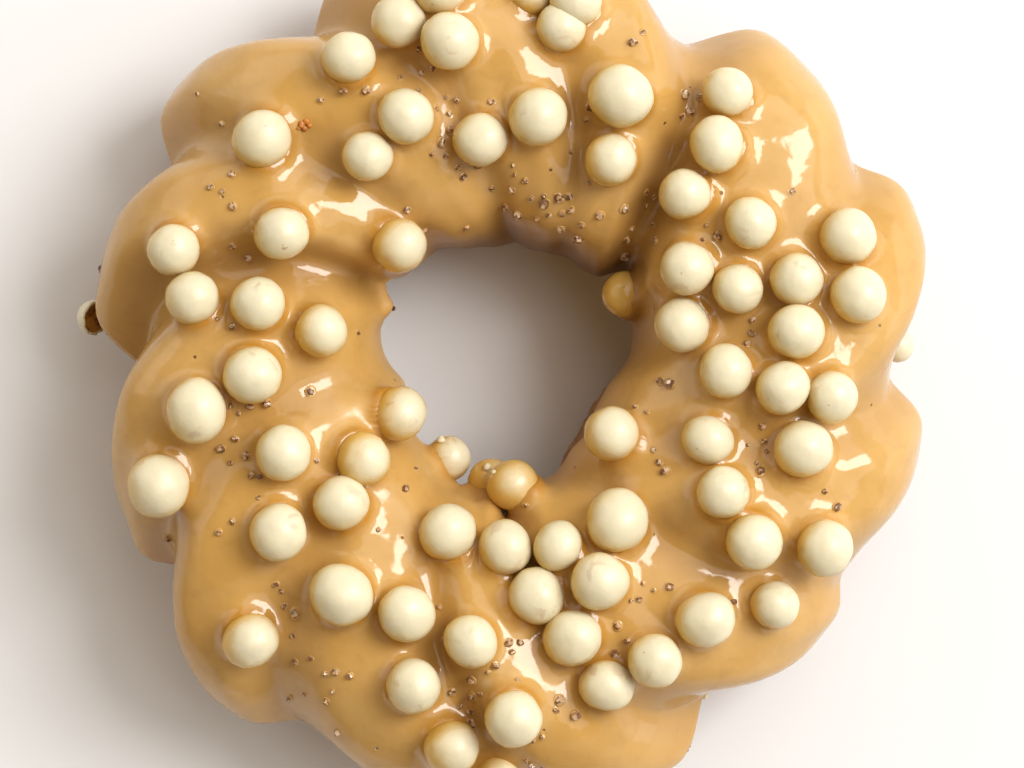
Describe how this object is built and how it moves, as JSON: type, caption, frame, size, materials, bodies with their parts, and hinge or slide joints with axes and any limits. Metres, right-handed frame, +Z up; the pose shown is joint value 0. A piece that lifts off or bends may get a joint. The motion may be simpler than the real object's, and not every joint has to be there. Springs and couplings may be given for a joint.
{
  "type": "churro doughnut",
  "caption": "Ring of fluted fried choux dough, its twisted ridges covered in caramel icing with crisp pearls sunk in it.",
  "frame": {"origin": "on the plane that the ring rests on, under the middle of its box", "axes": "+Z up through the hole, +X and +Y across the ring, to the right and to the top of the view from above"},
  "size_m": [0.0902, 0.0907, 0.0307],
  "materials": {
    "fried_dough": "browned fried crust, matt and finely rough",
    "caramel_icing": "smooth set caramel icing with a soft gloss, and cream-white pearls in it"
  },
  "bodies": {
    "root": {"dough_ring": "fried_dough", "caramel_icing": "caramel_icing"}
  },
  "joints": []
}
